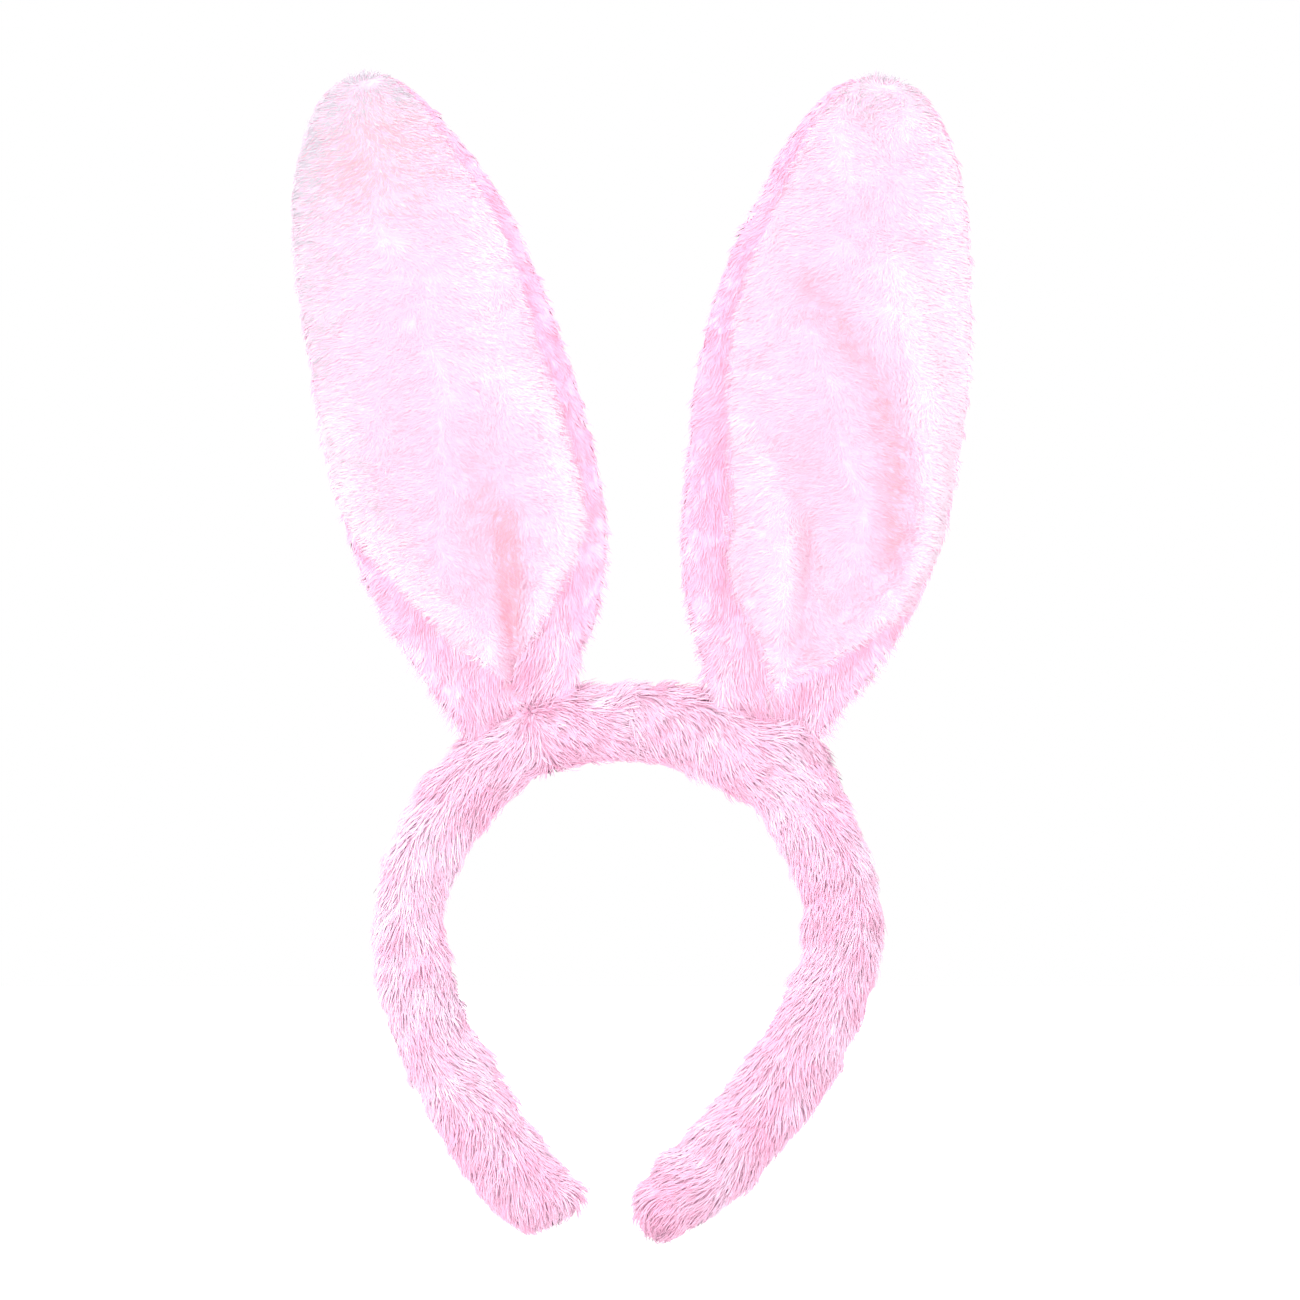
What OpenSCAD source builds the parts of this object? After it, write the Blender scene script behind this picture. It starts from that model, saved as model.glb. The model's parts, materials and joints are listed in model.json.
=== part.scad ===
// Rabbit ear headband: a plush sleeve over a sprung plastic band, with two wired plush ears.
// Millimetres. +Z is up, -Y is the front, and the origin is the underside of the crown, where
// it sits on the head. "Left" is the -X side, as seen from the front.

/* [Head opening] */
// Radius of the round part of the opening, to the fur
opening_r = 57; // [55:0.5:60]
// Angle from the crown's top to the place where an arm flexes
flex_angle = 58; // [55:1:62]
// How far an arm springs outwards
flex_travel = 22; // [10:1:24]

/* [Padded tube] */
// Outer radius of the plush sleeve
sleeve_r = 12.5; // [11.8:0.1:12.8]
// Radius of the wadding roll inside it
wadding_r = 8; // [7:0.5:8.5]
// Width of the plastic band, front to back
core_width = 10; // [8:0.5:11]
// Thickness of the plastic band
core_thick = 2.2; // [1.6:0.2:2.6]

/* [Arms] */
// Radius of the left arm's shoulder, below the flex
left_shoulder_r = 63.5; // [61:0.5:66]
// How far the shoulder runs on past the widest point, left arm
left_round = 19.5; // [17:0.5:22]
// Radius of the left arm below that
left_arm_r = 205; // [190:5:240]
// Angle that the left arm's lower stretch turns
left_arm_sweep = 20; // [17:0.5:20.5]
// The same four for the right arm: its shoulder's radius
right_shoulder_r = 60.5; // [59:0.5:64]
// How far its shoulder runs on past the widest point
right_round = 25.5; // [23:0.5:28]
// Radius of its lower stretch
right_arm_r = 180; // [170:5:220]
// Angle that its lower stretch turns
right_arm_sweep = 24.8; // [21:0.2:25]

/* [Ears] */
// Angle from the crown's top to the left ear's base
left_ear_angle = 24; // [22:1:26]
// Angle from the crown's top to the right ear's base
right_ear_angle = 31; // [29:1:33]
// Half thickness of an ear at its middle
ear_half_thick = 6.5; // [5.5:0.25:7.5]
// How far an ear's edges curl forward
ear_cup = 9; // [7:0.5:10]
// Radius of the wire in the ears
wire_r = 0.75; // [0.6:0.05:0.8]

/* [Hidden] */

tube_fn = 64;
fit = 0.2;                  // room between one layer of the tube and the next
hinge_gap = 0.33;           // degrees left open where an arm meets the crown
crown_r = opening_r + sleeve_r;
seam_r = 0.5;
knot_r = 1.5;
knot_length = 3;

ear_rise = 0.4;             // the ear's base stands this far clear of the sleeve
left_base_half = 19;        // half the width of the left ear's base
right_base_half = 17;
channel = 1.2;              // half the space between an ear's panels
interlining_half = 0.9;
wire_inset = 5.6;           // from the ear's outline to the wire
rim = 3.6;                  // the back panel's rolled rim
panel_gap = 5.6;            // room for the fold, on each side of its line
wire_gap = 2.8;
lining_gap = 2.8;
lean = 6;                   // how far back an ear's tip lies
base_back = 3;              // how far back the middle of an ear's base lies
white_plush = [0.99, 0.93, 0.98];
pink_plush = [1.0, 0.76, 0.87];
pink_thread = [0.98, 0.66, 0.8];

// An ear's edges, from the base up, as [x, z] from the tube's centre under the ear. The row at
// the base comes from the sleeve and is added by edge_rows().
left_low_edge = [
    [-32, 13.5], [-45, 31], [-56, 52], [-63.5, 74], [-69.5, 98], [-74, 124],
    [-77.5, 150], [-79, 172], [-76, 191], [-70, 204], [-62, 213],
];
left_high_edge = [
    [15, 28], [20, 44], [23, 70], [19.5, 92], [12.5, 117], [4.5, 142],
    [-6, 166], [-18, 186], [-31, 202], [-41, 211], [-50, 215.5],
];
right_low_edge = [
    [-10.5, 30.5], [-14.5, 44.5], [-17, 61.5], [-18, 79.5], [-16.5, 98.5], [-14, 118.5],
    [-9.5, 139.5], [-2.5, 160.5], [6.5, 179.5], [15.5, 196.5], [27, 210.5], [38, 217.5],
];
right_high_edge = [
    [33, 13.5], [45.5, 27], [56.5, 45.5], [65.5, 65.5], [71, 86.5], [74.5, 107],
    [76, 130.5], [76, 152.5], [74.5, 172.5], [70.5, 191], [63.5, 207], [55, 215.5],
];
// Where the white panel starts and stops on each row, as a share of the half width.
left_white_from = [-0.1, -0.12, -0.5, -0.79, -0.96, -0.97, -0.97, -0.97, -0.97, -0.97, -0.96, -0.9];
left_white_to = [0.06, 0.08, 0.48, 0.82, 0.81, 0.84, 0.87, 0.9, 0.9, 0.89, 0.87, 0.8];
right_white_from = [-0.1, -0.1, -0.3, -0.6, -0.63, -0.68, -0.74, -0.8, -0.8, -0.79, -0.79, -0.8, -0.75];
right_white_to = [0.15, 0.28, 0.65, 0.95, 0.97, 0.97, 0.97, 0.97, 0.97, 0.97, 0.96, 0.95, 0.9];
// The crease's place across the ear on each row, as a share of the half width.
left_crease = [0, 0, 0.05, 0.1, 0.12, 0.1, 0.05, 0, 0, 0, 0, 0];
right_crease = [0.05, 0.1, 0.15, 0.25, 0.38, 0.42, 0.4, 0.3, 0.2, 0.1, 0, 0, 0];

// ---------- shared functions ----------
function mix(a, b, t) = a + (b - a) * t;
function unit(p) = p / norm(p);
function bump(x) = exp(-x * x);
// A smooth curve through the list p, at t counted in its own steps.
function along(p, t) =
    let (last = len(p) - 1, i = min(floor(t), last - 1), f = t - i,
         a = p[max(i - 1, 0)], b = p[i], c = p[i + 1], d = p[min(i + 2, last)])
    0.5 * (2 * b + (c - a) * f + (2 * a - 5 * b + 4 * c - d) * f * f
           + (3 * (b - c) + d - a) * f * f * f);

// ---------- the padded tube ----------
// Outward from the opening's centre, at an angle from the crown's top towards the left.
function outward(angle) = [-sin(angle), cos(angle)];
function onward(angle) = [-cos(angle), -sin(angle)];
function on_crown(angle, r = crown_r) = [0, -opening_r] + r * outward(angle);

module crown_sweep() {
    translate([0, 0, -opening_r])
        rotate([90, 0, 0])
            rotate([0, 0, 90 - flex_angle])
                rotate_extrude(angle = 2 * flex_angle, $fn = tube_fn)
                    translate([crown_r, 0])
                        children();
}

// An arm is [shoulder radius, round, arm radius, sweep]. This is its shoulder's lower end, with
// the shoulder's centre at the origin, +X outwards and +Y onwards.
module at_shoulder(arm) {
    translate([0, 0, -opening_r])
        rotate([90, 0, 0])
            rotate([0, 0, 90 + flex_angle])
                translate([crown_r - arm[0], 0, 0])
                    rotate([0, 0, 90 + arm[1] - flex_angle])
                        children();
}

// Sweeps a flat profile, whose x is outwards, along an arm. "ahead" starts it nearer the crown.
module arm_sweep(arm, ahead = 0) {
    at_shoulder(arm) {
        mirror([0, 1, 0])
            rotate_extrude(angle = 90 + arm[1] - flex_angle - hinge_gap + ahead, $fn = tube_fn)
                translate([arm[0], 0])
                    children();
        translate([arm[0] - arm[2], 0, 0])
            rotate_extrude(angle = arm[3], $fn = tube_fn)
                translate([arm[2], 0])
                    children();
    }
}

// Places its children at an arm's end, with +Z running on along the arm and +X outwards.
module at_arm_end(arm) {
    at_shoulder(arm)
        translate([arm[0] - arm[2], 0, 0])
            rotate([0, 0, arm[3]])
                translate([arm[2], 0, 0])
                    rotate([-90, 0, 0])
                        children();
}

// A round arm with a domed end. The dome is a hair slimmer than the arm.
module arm_solid(r, arm, ahead = 0) {
    arm_sweep(arm, ahead) circle(r, $fn = tube_fn);
    at_arm_end(arm)
        translate([0, 0, -0.2])
            sphere(r - 0.02, $fn = tube_fn);
}

// The wedge that lets an arm swing outwards without cutting into the crown.
module flex_wedge() {
    swing = flex_angle + flex_travel;
    reach = 3 * sleeve_r;
    edge = on_crown(flex_angle) + 0.36 * onward(swing);
    rotate([90, 0, 0])
        linear_extrude(2 * reach, center = true)
            polygon([
                edge,
                on_crown(flex_angle) + reach * outward(flex_angle - 5),
                edge + reach * outward(swing),
            ]);
}

module core_profile(room = 0) {
    square([core_thick + 2 * room, core_width + 2 * room], center = true);
}

module core_solid(room, arm, ahead = 0) {
    arm_sweep(arm, ahead) core_profile(room);
    at_arm_end(arm)
        translate([0, 0, -0.2])
            rotate([0, 90, 0])
                cylinder(h = core_thick - 0.2 + 2 * room, r = core_width / 2 - 0.02 + room,
                         center = true, $fn = 48);
}

module seam_profile(room = 0) {
    translate([-sleeve_r, 0]) circle(seam_r + room, $fn = 24);
}

module core_crown() {
    color("whitesmoke") crown_sweep() core_profile();
}

module core_arm(arm) {
    color("whitesmoke")
        difference() {
            core_solid(0, arm);
            flex_wedge();
        }
}

module wadding_crown() {
    color("white")
        crown_sweep()
            difference() {
                circle(wadding_r, $fn = tube_fn);
                core_profile(fit);
            }
}

module wadding_arm(arm) {
    color("white")
        difference() {
            arm_solid(wadding_r, arm);
            core_solid(fit, arm, 1);
            flex_wedge();
        }
}

module sleeve_crown() {
    color(pink_plush)
        crown_sweep()
            difference() {
                circle(sleeve_r, $fn = tube_fn);
                circle(wadding_r + fit, $fn = tube_fn);
                seam_profile(fit);
            }
}

module sleeve_arm(arm) {
    color(pink_plush)
        difference() {
            arm_solid(sleeve_r, arm);
            arm_solid(wadding_r + fit, arm, 1);
            arm_sweep(arm, 1) seam_profile(fit);
            at_arm_end(arm)
                cylinder(h = 2 * sleeve_r, r = knot_r + 0.1, $fn = 24);
            flex_wedge();
        }
}

module sleeve_seam_crown() {
    color(pink_thread) crown_sweep() seam_profile();
}

module sleeve_seam_arm(arm) {
    color(pink_thread)
        difference() {
            arm_sweep(arm) seam_profile();
            flex_wedge();
        }
}

// The thread knot that closes the sleeve's gathered end.
module end_knot(arm) {
    color(pink_thread)
        at_arm_end(arm)
            translate([0, 0, sleeve_r - knot_length])
                cylinder(h = knot_length, r = knot_r, $fn = 24);
}

module arm_part(part, arm) {
    if (part == "core") core_arm(arm);
    if (part == "wadding") wadding_arm(arm);
    if (part == "sleeve") sleeve_arm(arm);
    if (part == "seam") sleeve_seam_arm(arm);
    if (part == "knot") end_knot(arm);
}

module left_arm(part) {
    arm_part(part, [left_shoulder_r, left_round, left_arm_r, left_arm_sweep]);
}

module right_arm(part) {
    mirror([1, 0, 0])
        arm_part(part, [right_shoulder_r, right_round, right_arm_r, right_arm_sweep]);
}

// ---------- the ears ----------
// An ear is [tube centre under it, low edge, high edge, white from, white to, crease, fold row].
// u runs from -1 on the edge with the lower x to 1 on the other, and t counts rows.
function base_row(angle, half) =
    let (up = [sin(angle), cos(angle)], across = [cos(angle), -sin(angle)],
         middle = (sleeve_r + ear_rise) * up)
    [middle - half * across, middle + half * across];

left_ear = [
    on_crown(left_ear_angle),
    concat([base_row(-left_ear_angle, left_base_half)[0]], left_low_edge),
    concat([base_row(-left_ear_angle, left_base_half)[1]], left_high_edge),
    left_white_from, left_white_to, left_crease, 5,
];
right_ear = [
    on_crown(-right_ear_angle),
    concat([base_row(right_ear_angle, right_base_half)[0]], right_low_edge),
    concat([base_row(right_ear_angle, right_base_half)[1]], right_high_edge),
    right_white_from, right_white_to, right_crease, 6,
];

function rows_of(ear) = len(ear[1]) - 1;
function fold_of(ear) = ear[6];
function low_point(ear, t) = along(ear[1], t);
function high_point(ear, t) = along(ear[2], t);
function half_width(ear, t) = norm(high_point(ear, t) - low_point(ear, t)) / 2;
function height_share(ear, t) = t / rows_of(ear);
// Rows are this many millimetres apart near the fold, to turn a gap into a row count.
function row_pitch(ear) =
    let (f = fold_of(ear))
    norm(mix(low_point(ear, f + 0.5), high_point(ear, f + 0.5), 0.5)
         - mix(low_point(ear, f - 0.5), high_point(ear, f - 0.5), 0.5));

function thickness(ear, t) =
    let (v = height_share(ear, t))
    ear_half_thick * (0.78 + 0.3 * bump((v - 0.3) / 0.35) - 0.15 * v * v);
function curl(ear, t) =
    let (v = height_share(ear, t))
    ear_cup * (0.75 + 0.25 * bump((v - 0.25) / 0.2)) * (1 - 0.85 * pow(v, 1.6));
function middle_y(ear, t, u) =
    let (v = height_share(ear, t))
    base_back + lean * v * v - curl(ear, t) * u * u;
function roundness(u) = pow(max(1 - pow(abs(u), 3.2), 0), 0.5);
// The pinch at the base pulls a crease into the front that fades out up the ear.
function crease_depth(ear, t, u) =
    let (v = height_share(ear, t), place = along(ear[5], t))
    (3.2 * bump((v - 0.12) / 0.22) + 1.4 * bump((v - 0.4) / 0.25))
    * bump((u - place) / (0.16 + 0.35 * v));
function front_y(ear, t, u) =
    middle_y(ear, t, u)
    - max(thickness(ear, t) * roundness(u) - crease_depth(ear, t, u), min(channel + 1.2, thickness(ear, t)) * roundness(u));
function back_y(ear, t, u) = middle_y(ear, t, u) + thickness(ear, t) * roundness(u);
function space(ear, t) = min(channel, 0.1 + 1.4 * (rows_of(ear) - t));

function place(ear, t, u, y) =
    let (p = ear[0] + mix(low_point(ear, t), high_point(ear, t), (u + 1) / 2)) [p.x, y, p.y];
function on_front(ear, t, u) = place(ear, t, u, front_y(ear, t, u));
function on_back(ear, t, u) = place(ear, t, u, back_y(ear, t, u));
function off_middle(ear, t, u, d) = place(ear, t, u, middle_y(ear, t, u) + d);
function inner_u(ear, t) = max(1 - rim / half_width(ear, t), 0.3);

// Steps from a to b, closer together near -1 and 1 where the outline turns.
function steps(a, b, n) = let (p = asin(a), q = asin(b)) [for (i = [0:n]) sin(mix(p, q, i / n))];

// A row is a closed loop whose first half and second half face each other, point for point.
// The back panel's is the back, both rolled edges and their lips on the front, then the inside.
function back_row(ear, t) =
    let (a = along(ear[3], t), b = along(ear[4], t), w = inner_u(ear, t), s = space(ear, t))
    concat(
        [for (u = steps(a, -1, 4)) on_front(ear, t, u)],
        [for (i = [1:9]) on_back(ear, t, sin(-90 + 18 * i))],
        [for (u = steps(1, b, 4)) on_front(ear, t, u)],
        [for (i = [0:4]) off_middle(ear, t, mix(b, w, i / 4), -s)],
        [for (i = [0:8]) off_middle(ear, t, mix(w, -w, i / 8), s)],
        [for (i = [0:4]) off_middle(ear, t, mix(-w, a, i / 4), -s)]
    );

function front_row(ear, t) =
    let (a = along(ear[3], t) + 0.014, b = along(ear[4], t) - 0.014, s = space(ear, t) + 0.2)
    concat(
        [for (u = steps(a, b, 8)) on_front(ear, t, u)],
        [for (i = [0:8]) off_middle(ear, t, mix(b, a, i / 8), -s)]
    );

function lining_row(ear, t) =
    let (w = 1 - (wire_inset + 2) / half_width(ear, t))
    concat(
        [for (i = [0:6]) off_middle(ear, t, mix(-w, w, i / 6), -interlining_half)],
        [for (i = [0:6]) off_middle(ear, t, mix(w, -w, i / 6), interlining_half)]
    );

// A closed solid through rows of points. Each end is closed by strips between its facing halves.
module loft(rows) {
    n = len(rows);
    m = len(rows[0]);
    top = (n - 1) * m;
    polyhedron(
        points = [for (row = rows) each row],
        faces = concat(
            [for (i = [0:m / 2 - 2]) [m - 1 - i, m - 2 - i, i]],
            [for (i = [0:m / 2 - 2]) [m - 2 - i, i + 1, i]],
            [for (i = [0:m / 2 - 2]) [top + i, top + m - 2 - i, top + m - 1 - i]],
            [for (i = [0:m / 2 - 2]) [top + i, top + i + 1, top + m - 2 - i]],
            [for (k = [0:n - 2], i = [0:m - 1]) [k * m + i, k * m + (i + 1) % m, (k + 1) * m + i]],
            [for (k = [0:n - 2], i = [0:m - 1])
                [k * m + (i + 1) % m, (k + 1) * m + (i + 1) % m, (k + 1) * m + i]]
        )
    );
}

// A round wire through points that lie near a plane facing the front.
module wire(points, r, sides = 8) {
    last = len(points) - 1;
    loft([for (k = [0:last])
        let (run = unit(points[min(k + 1, last)] - points[max(k - 1, 0)]),
             side = unit(cross(run, [0, 1, 0])), other = cross(side, run))
        [for (i = [0:sides - 1])
            points[k] + r * (cos(360 * i / sides) * side - sin(360 * i / sides) * other)]]);
}

function spread(a, b, n) = [for (i = [0:n]) mix(a, b, i / n)];
function gap_rows(ear, gap) = gap / row_pitch(ear);
function top_row(ear) = rows_of(ear);

module back_panel(ear, tip) {
    g = gap_rows(ear, panel_gap);
    ts = tip ? spread(fold_of(ear) + g, top_row(ear), 13) : spread(0, fold_of(ear) - g, 9);
    color(pink_plush) loft([for (t = ts) back_row(ear, t)]);
}

module front_panel(ear, tip) {
    g = gap_rows(ear, panel_gap);
    ts = tip ? spread(fold_of(ear) + g, top_row(ear) - 0.15, 12) : spread(1.1, fold_of(ear) - g, 8);
    color(white_plush) loft([for (t = ts) front_row(ear, t)]);
}

module interlining(ear, tip) {
    g = gap_rows(ear, lining_gap);
    ts = tip ? spread(fold_of(ear) + g, top_row(ear) - 2, 7) : spread(0.3, fold_of(ear) - g, 7);
    color("snow") loft([for (t = ts) lining_row(ear, t)]);
}

function wire_u(ear, t) = 1 - wire_inset / half_width(ear, t);

// The lower wire is two legs. The tip's is one arch, round over the top.
module ear_wire(ear, tip) {
    g = gap_rows(ear, wire_gap);
    turn = top_row(ear) - 2;
    rise = 1.25;
    color("silver")
        if (tip) {
            w = wire_u(ear, turn);
            wire(concat(
                [for (t = spread(fold_of(ear) + g, turn - 0.3, 8)) off_middle(ear, t, -wire_u(ear, t), 0)],
                [for (i = [0:8]) let (q = 180 - 22.5 * i)
                    off_middle(ear, turn + rise * sin(q), w * cos(q), 0)],
                [for (t = spread(turn - 0.3, fold_of(ear) + g, 8)) off_middle(ear, t, wire_u(ear, t), 0)]
            ), wire_r);
        } else {
            for (side = [-1, 1])
                wire([for (t = spread(0.25, fold_of(ear) - g, 10))
                    off_middle(ear, t, side * wire_u(ear, t), 0)], wire_r);
        }
}

// The thread that joins the white panel to the pink one, lying just clear of the plush.
module ear_seam(ear, tip) {
    g = gap_rows(ear, panel_gap);
    proud = 0.6;
    ts = tip ? spread(fold_of(ear) + g, top_row(ear) - 0.3, 9) : spread(1.2, fold_of(ear) - g, 8);
    color(pink_thread)
        for (edge = [3, 4])
            wire([for (t = ts)
                let (u = along(ear[edge], t)) place(ear, t, u, front_y(ear, t, u) - proud)], 0.35, 6);
}

// Places its children over an ear's base, with +Z outwards from the tube.
module at_ear_base(ear, angle) {
    translate([ear[0].x, 0, ear[0].y]) rotate([0, angle, 0]) children();
}

// Whip stitches in a row along the front and the back of an ear's base.
module base_stitches(ear, angle, half) {
    stitch_r = 0.45;
    stitch_length = 3.4;
    stitch_gap = 2.9;           // from the plush to the stitch's middle
    count = 7;
    color(pink_thread)
        at_ear_base(ear, angle)
            for (side = [-1, 1], i = [0:count - 1])
                let (share = 0.8 * (2 * i / (count - 1) - 1),
                     y = side < 0 ? front_y(ear, 0.2, share) : back_y(ear, 0.2, share))
                translate([share * half, y + side * stitch_gap, sleeve_r + ear_rise])
                    rotate([0, 12, 0])
                        cylinder(h = stitch_length, r = stitch_r, $fn = 16);
}

// The thread bar that holds the pinch in the ear's front, just under the white panel's point.
module pinch_tack(ear) {
    tack_r = 0.6;
    tack_length = 6;
    p = on_front(ear, 0.85, 0);
    color(pink_thread)
        translate([p.x, p.y - tack_r - 2.6, p.z])
            rotate([0, 90, 0])
                cylinder(h = tack_length, r = tack_r, center = true, $fn = 16);
}

core_crown();
left_arm("core");  // core_left_arm
right_arm("core");  // core_right_arm
wadding_crown();
left_arm("wadding");  // wadding_left_arm
right_arm("wadding");  // wadding_right_arm
sleeve_crown();
left_arm("sleeve");  // sleeve_left_arm
right_arm("sleeve");  // sleeve_right_arm
sleeve_seam_crown();
left_arm("seam");  // sleeve_seam_left_arm
right_arm("seam");  // sleeve_seam_right_arm
left_arm("knot");  // end_knot_left
right_arm("knot");  // end_knot_right
back_panel(left_ear, false);  // left_ear_back_lower
back_panel(left_ear, true);  // left_ear_back_tip
front_panel(left_ear, false);  // left_ear_front_lower
front_panel(left_ear, true);  // left_ear_front_tip
interlining(left_ear, false);  // left_ear_interlining_lower
interlining(left_ear, true);  // left_ear_interlining_tip
ear_wire(left_ear, false);  // left_ear_wire_lower
ear_wire(left_ear, true);  // left_ear_wire_tip
ear_seam(left_ear, false);  // left_ear_seam_lower
ear_seam(left_ear, true);  // left_ear_seam_tip
base_stitches(left_ear, -left_ear_angle, left_base_half);  // left_ear_base_stitches
pinch_tack(left_ear);  // left_ear_pinch_tack
back_panel(right_ear, false);  // right_ear_back_lower
back_panel(right_ear, true);  // right_ear_back_tip
front_panel(right_ear, false);  // right_ear_front_lower
front_panel(right_ear, true);  // right_ear_front_tip
interlining(right_ear, false);  // right_ear_interlining_lower
interlining(right_ear, true);  // right_ear_interlining_tip
ear_wire(right_ear, false);  // right_ear_wire_lower
ear_wire(right_ear, true);  // right_ear_wire_tip
ear_seam(right_ear, false);  // right_ear_seam_lower
ear_seam(right_ear, true);  // right_ear_seam_tip
base_stitches(right_ear, right_ear_angle, right_base_half);  // right_ear_base_stitches
pinch_tack(right_ear);  // right_ear_pinch_tack
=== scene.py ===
"""Rabbit ears headband: padded plush skins with a combed pile, built round the CAD frame.

Shapes are in millimetres, in the frame's axes: +X right, +Y back, +Z up. The front faces -Y.
"""
import json
import math

import bpy
import numpy as np
from mathutils.kdtree import KDTree
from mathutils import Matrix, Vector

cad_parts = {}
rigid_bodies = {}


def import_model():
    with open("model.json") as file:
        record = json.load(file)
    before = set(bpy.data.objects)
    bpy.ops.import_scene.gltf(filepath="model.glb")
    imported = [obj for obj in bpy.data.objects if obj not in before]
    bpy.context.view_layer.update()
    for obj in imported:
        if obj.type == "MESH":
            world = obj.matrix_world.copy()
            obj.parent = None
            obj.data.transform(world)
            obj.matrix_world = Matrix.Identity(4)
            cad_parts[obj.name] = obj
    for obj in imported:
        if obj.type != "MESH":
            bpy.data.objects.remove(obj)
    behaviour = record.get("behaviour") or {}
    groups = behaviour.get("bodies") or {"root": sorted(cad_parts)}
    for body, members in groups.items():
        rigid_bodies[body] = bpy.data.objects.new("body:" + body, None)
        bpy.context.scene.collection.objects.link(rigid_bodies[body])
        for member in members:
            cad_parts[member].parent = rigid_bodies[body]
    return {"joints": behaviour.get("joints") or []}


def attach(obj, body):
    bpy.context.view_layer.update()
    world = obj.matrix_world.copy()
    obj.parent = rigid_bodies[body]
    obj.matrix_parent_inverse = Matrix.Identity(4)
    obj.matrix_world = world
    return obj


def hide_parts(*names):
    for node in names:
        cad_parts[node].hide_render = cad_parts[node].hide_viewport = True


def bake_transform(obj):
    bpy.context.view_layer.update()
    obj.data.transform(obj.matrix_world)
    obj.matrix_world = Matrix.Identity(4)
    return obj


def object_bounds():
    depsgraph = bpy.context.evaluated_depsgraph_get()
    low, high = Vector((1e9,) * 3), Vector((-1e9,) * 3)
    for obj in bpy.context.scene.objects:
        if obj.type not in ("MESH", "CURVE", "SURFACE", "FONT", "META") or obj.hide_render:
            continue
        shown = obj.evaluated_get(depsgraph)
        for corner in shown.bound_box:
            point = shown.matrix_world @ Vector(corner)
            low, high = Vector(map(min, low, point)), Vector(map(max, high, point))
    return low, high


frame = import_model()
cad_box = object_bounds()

MM = 0.001

# ---------- sizes, as in the CAD ----------
OPENING_R = 57.0
SLEEVE_R = 12.5
WADDING_R = 8.0
CROWN_R = OPENING_R + SLEEVE_R
FLEX_ANGLE = 58.0
# An arm's shoulder radius, the shoulder's run past the widest point, and its lower arc's
# radius and sweep.
ARMS = {"left": (63.5, 19.5, 205.0, 20.0), "right": (60.5, 25.5, 180.0, 24.8)}
OPENING_CENTRE = np.array([0.0, -OPENING_R])
TURN = {"left": 1.0, "right": -1.0}

FRONT = np.array([0.0, -1.0, 0.0])
RIGHT = np.array([1.0, 0.0, 0.0])
DOWN = np.array([0.0, 0.0, -1.0])


# ---------- small tools ----------
def outward(angle):
    """Outward from the opening's centre, at an angle from the crown's top towards the left."""
    a = np.radians(angle)
    return np.stack([-np.sin(a), np.cos(a)], -1)


def on_crown(angle):
    return OPENING_CENTRE + CROWN_R * outward(angle)


def unit(v):
    return v / np.maximum(np.linalg.norm(v, axis=-1, keepdims=True), 1e-9)


def dot(a, b):
    return (a * b).sum(-1, keepdims=True)


def mix(a, b, t):
    return a + (b - a) * t


def bump(x):
    return np.exp(-x * x)


def ramp(x, low, high):
    """0 below low, 1 above high, and smooth between."""
    t = np.clip((x - low) / (high - low), 0, 1)
    return t * t * (3 - 2 * t)


def along(points, t):
    """A smooth curve through the points, at t counted in their own steps."""
    p = np.asarray(points, float)
    t = np.asarray(t, float)
    last = len(p) - 1
    i = np.clip(np.floor(t).astype(int), 0, last - 1)
    f = t - i
    if p.ndim > 1:
        f = f[..., None]
    a, b, c, d = p[np.maximum(i - 1, 0)], p[i], p[i + 1], p[np.minimum(i + 2, last)]
    return 0.5 * (2 * b + (c - a) * f + (2 * a - 5 * b + 4 * c - d) * f**2
                  + (3 * (b - c) + d - a) * f**3)


def ripple(points, size, seed):
    """Smooth noise of about unit height, whose waves are about size long."""
    rng = np.random.default_rng(seed)
    ways = unit(rng.normal(size=(7, 3))) * (2 * math.pi / size) * rng.uniform(0.6, 1.4, (7, 1))
    return np.sin(points @ ways.T + rng.uniform(0, 6.28, 7)).sum(-1) / math.sqrt(3.5)


def with_depth(flat, y):
    """Points in 3-D from (x, z) and y."""
    return np.stack([flat[..., 0], y, flat[..., 1]], -1)


def run_along(points):
    """How far each point of a path is from its start, along it."""
    return np.concatenate([[0], np.cumsum(np.linalg.norm(np.diff(points, axis=0), axis=1))])


def add_mesh(name, points, faces, materials, face_material=None):
    """A mesh object from points in millimetres and faces that all have as many corners."""
    faces = np.asarray(faces, np.int32)
    count, corners = faces.shape
    mesh = bpy.data.meshes.new(name)
    mesh.vertices.add(len(points))
    mesh.vertices.foreach_set("co", (np.asarray(points) * MM).astype(np.float32).ravel())
    mesh.loops.add(count * corners)
    mesh.loops.foreach_set("vertex_index", faces.ravel())
    mesh.polygons.add(count)
    mesh.polygons.foreach_set("loop_start", np.arange(0, count * corners, corners, dtype=np.int32))
    mesh.polygons.foreach_set("use_smooth", np.full(count, True))
    for material in materials:
        mesh.materials.append(material)
    if face_material is not None:
        mesh.polygons.foreach_set("material_index", np.asarray(face_material, np.int32))
    mesh.update(calc_edges=True)
    obj = bpy.data.objects.new(name, mesh)
    bpy.context.collection.objects.link(obj)
    return obj


def grid_faces(rows, columns, around=False):
    """Quads of a grid of points, row by row. "around" joins each row's end to its start."""
    last = columns if around else columns - 1
    k, i = np.meshgrid(np.arange(rows - 1), np.arange(last), indexing="ij")
    k, i = k.ravel(), i.ravel()
    j = (i + 1) % columns
    return np.stack([k * columns + i, k * columns + j, (k + 1) * columns + j,
                     (k + 1) * columns + i], -1)


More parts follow.
